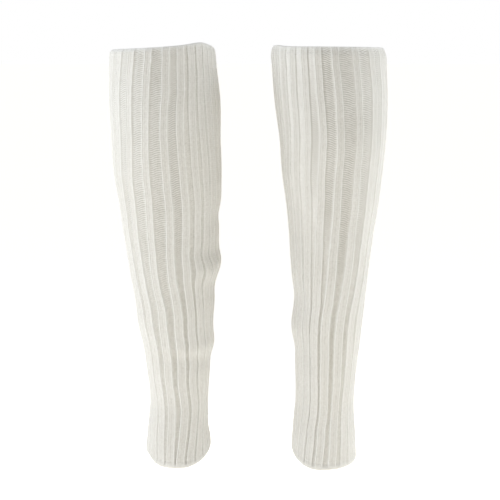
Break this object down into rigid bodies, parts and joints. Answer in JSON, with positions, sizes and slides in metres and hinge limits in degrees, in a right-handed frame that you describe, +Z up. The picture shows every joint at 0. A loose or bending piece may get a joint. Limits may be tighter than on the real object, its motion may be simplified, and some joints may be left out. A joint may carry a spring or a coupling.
{
  "type": "pair of leg warmers",
  "caption": "Pair of long hollow leg warmers in wide rib knit, wide at the knee, narrow at the ankle, with a narrow welt at each open end.",
  "frame": {"origin": "midway between the two leg warmers, at the height of their top edges, where the legs in them hold them up", "axes": "+Z up along the legs, -Y towards the front (shins), +X towards the viewer's right when looking at the front"},
  "size_m": [0.3614, 0.146, 0.5542],
  "materials": {
    "rib_knit": "matte cream wool-like yarn in wide ribs, knit columns on the ribs and purl rows between them",
    "top_welt": "matte cream yarn, soft cast-on edge",
    "ankle_welt": "matte cream yarn, chained cast-off edge"
  },
  "bodies": {
    "root": {"left_top_welt": "top_welt", "left_knit": "rib_knit", "left_ankle_welt": "ankle_welt", "right_top_welt": "top_welt", "right_knit": "rib_knit", "right_ankle_welt": "ankle_welt"}
  },
  "joints": []
}
